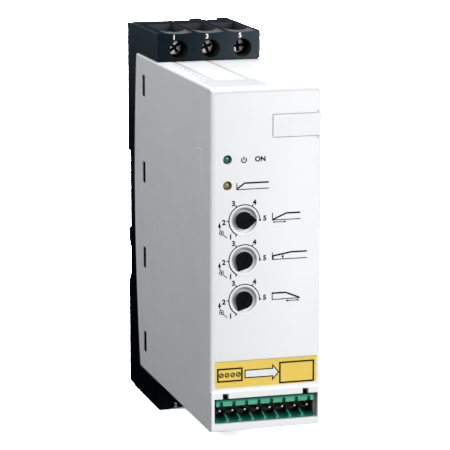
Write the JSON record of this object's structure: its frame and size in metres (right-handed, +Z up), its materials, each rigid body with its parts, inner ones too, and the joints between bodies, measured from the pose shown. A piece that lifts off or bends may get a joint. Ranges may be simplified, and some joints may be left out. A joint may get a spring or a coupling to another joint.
{
  "type": "soft starter",
  "caption": "Narrow rail-mounted motor soft starter: pale moulded cover, black rear base with power terminals above and below, plug-in control header, setting knobs and lamps.",
  "frame": {"origin": "middle of the flat floor of the rail seat at the back, level with the rail's middle", "axes": "+X to the viewer's right, +Y from the front to the back, out of the rail seat, +Z up"},
  "size_m": [0.045, 0.131, 0.159],
  "materials": {
    "cover_white": "fine moulded texture",
    "base_black": "fine moulded texture",
    "clip_black": "moulded",
    "sheet_grey_white": "satin film",
    "label_yellow": "satin film",
    "tag_white": "satin",
    "header_green": "moulded",
    "pin_tinned": "tin plated",
    "screw_steel": "zinc plated",
    "cage_steel": "zinc plated",
    "spring_steel": "drawn wire",
    "bar_tinned_copper": "tin plated copper",
    "knob_black": "moulded",
    "lamp_green": "glossy lens",
    "lamp_amber": "glossy lens",
    "board_green": "solder mask",
    "trimmer_blue": "moulded",
    "chip_black": "moulded",
    "relay_black": "moulded case",
    "capacitor_sleeve": "shrink sleeve",
    "varistor_blue": "dipped coating",
    "module_black": "moulded",
    "sink_aluminium": "extruded"
  },
  "bodies": {
    "housing": {"rear_base": "base_black", "cover": "cover_white", "front_sheet": "sheet_grey_white", "lower_label": "label_yellow", "marker_tag": "tag_white", "clip_spring": "spring_steel", "control_header": "header_green", "header_pin_1": "pin_tinned", "header_pin_2": "pin_tinned", "header_pin_3": "pin_tinned", "header_pin_4": "pin_tinned", "header_pin_5": "pin_tinned", "header_pin_6": "pin_tinned", "header_pin_7": "pin_tinned", "header_pin_8": "pin_tinned", "trimmer_1": "trimmer_blue", "varistor_1": "varistor_blue", "trimmer_2": "trimmer_blue", "varistor_2": "varistor_blue", "trimmer_3": "trimmer_blue", "varistor_3": "varistor_blue", "green_lamp": "lamp_green", "amber_lamp": "lamp_amber", "terminal_bar_1": "bar_tinned_copper", "terminal_bar_2": "bar_tinned_copper", "terminal_bar_3": "bar_tinned_copper", "terminal_bar_4": "bar_tinned_copper", "terminal_bar_5": "bar_tinned_copper", "terminal_bar_6": "bar_tinned_copper", "control_board": "board_green", "power_board": "board_green", "logic_board": "board_green", "controller_chip": "chip_black", "bypass_relay_1": "relay_black", "thyristor_module_1": "module_black", "bypass_relay_2": "relay_black", "thyristor_module_2": "module_black", "filter_capacitor": "capacitor_sleeve", "heat_sink": "sink_aluminium"},
    "start_time_knob": {"start_time_knob": "knob_black"},
    "start_voltage_knob": {"start_voltage_knob": "knob_black"},
    "stop_time_knob": {"stop_time_knob": "knob_black"},
    "terminal_screw_1": {"terminal_screw_1": "screw_steel"},
    "clamp_cage_1": {"clamp_cage_1": "cage_steel"},
    "terminal_screw_3": {"terminal_screw_3": "screw_steel"},
    "clamp_cage_3": {"clamp_cage_3": "cage_steel"},
    "terminal_screw_5": {"terminal_screw_5": "screw_steel"},
    "clamp_cage_5": {"clamp_cage_5": "cage_steel"},
    "terminal_screw_2": {"terminal_screw_2": "screw_steel"},
    "clamp_cage_2": {"clamp_cage_2": "cage_steel"},
    "terminal_screw_4": {"terminal_screw_4": "screw_steel"},
    "clamp_cage_4": {"clamp_cage_4": "cage_steel"},
    "terminal_screw_6": {"terminal_screw_6": "screw_steel"},
    "clamp_cage_6": {"clamp_cage_6": "cage_steel"},
    "rail_clip": {"rail_clip": "clip_black"}
  },
  "joints": [
    {"name": "start_time_turn", "type": "hinge", "parent": "housing", "child": "start_time_knob", "pos_m": [-0.0087, -0.1269, 0.0094], "axis": [0, 1, 0], "range_deg": [-240, 0]},
    {"name": "start_voltage_turn", "type": "hinge", "parent": "housing", "child": "start_voltage_knob", "pos_m": [-0.0087, -0.1269, -0.0062], "axis": [0, 1, 0], "range_deg": [0, 240]},
    {"name": "stop_time_turn", "type": "hinge", "parent": "housing", "child": "stop_time_knob", "pos_m": [-0.0087, -0.1269, -0.0218], "axis": [0, 1, 0], "range_deg": [0, 240]},
    {"name": "screw_1_turn", "type": "hinge", "parent": "housing", "child": "terminal_screw_1", "pos_m": [-0.0128, -0.0374, 0.0658], "axis": [0, 1, 0], "range_deg": [0, 2710]},
    {"name": "cage_1_lift", "type": "slide", "parent": "housing", "child": "clamp_cage_1", "axis": [0, -1, 0], "range_m": [0, 0.00525]},
    {"name": "screw_3_turn", "type": "hinge", "parent": "housing", "child": "terminal_screw_3", "pos_m": [0.0008, -0.0374, 0.0658], "axis": [0, 1, 0], "range_deg": [0, 2710]},
    {"name": "cage_3_lift", "type": "slide", "parent": "housing", "child": "clamp_cage_3", "axis": [0, -1, 0], "range_m": [0, 0.00525]},
    {"name": "screw_5_turn", "type": "hinge", "parent": "housing", "child": "terminal_screw_5", "pos_m": [0.0144, -0.0374, 0.0658], "axis": [0, 1, 0], "range_deg": [0, 2710]},
    {"name": "cage_5_lift", "type": "slide", "parent": "housing", "child": "clamp_cage_5", "axis": [0, -1, 0], "range_m": [0, 0.00525]},
    {"name": "screw_2_turn", "type": "hinge", "parent": "housing", "child": "terminal_screw_2", "pos_m": [-0.0128, -0.0374, -0.079], "axis": [0, 1, 0], "range_deg": [0, 2710]},
    {"name": "cage_2_lift", "type": "slide", "parent": "housing", "child": "clamp_cage_2", "axis": [0, -1, 0], "range_m": [0, 0.00525]},
    {"name": "screw_4_turn", "type": "hinge", "parent": "housing", "child": "terminal_screw_4", "pos_m": [0.0008, -0.0374, -0.079], "axis": [0, 1, 0], "range_deg": [0, 2710]},
    {"name": "cage_4_lift", "type": "slide", "parent": "housing", "child": "clamp_cage_4", "axis": [0, -1, 0], "range_m": [0, 0.00525]},
    {"name": "screw_6_turn", "type": "hinge", "parent": "housing", "child": "terminal_screw_6", "pos_m": [0.0144, -0.0374, -0.079], "axis": [0, 1, 0], "range_deg": [0, 2710]},
    {"name": "cage_6_lift", "type": "slide", "parent": "housing", "child": "clamp_cage_6", "axis": [0, -1, 0], "range_m": [0, 0.00525]},
    {"name": "rail_clip_slide", "type": "slide", "parent": "housing", "child": "rail_clip", "axis": [0, 0, 1], "range_m": [-0.003, 0], "stiffness_N_per_m": 1500, "springref_m": 0.003, "deforming": ["clip_spring"]}
  ],
  "couplings": [
    {"joint": "screw_1_turn", "follows": "cage_1_lift", "rad_per_m": 8976},
    {"joint": "screw_3_turn", "follows": "cage_3_lift", "rad_per_m": 8976},
    {"joint": "screw_5_turn", "follows": "cage_5_lift", "rad_per_m": 8976},
    {"joint": "screw_2_turn", "follows": "cage_2_lift", "rad_per_m": 8976},
    {"joint": "screw_4_turn", "follows": "cage_4_lift", "rad_per_m": 8976},
    {"joint": "screw_6_turn", "follows": "cage_6_lift", "rad_per_m": 8976}
  ]
}
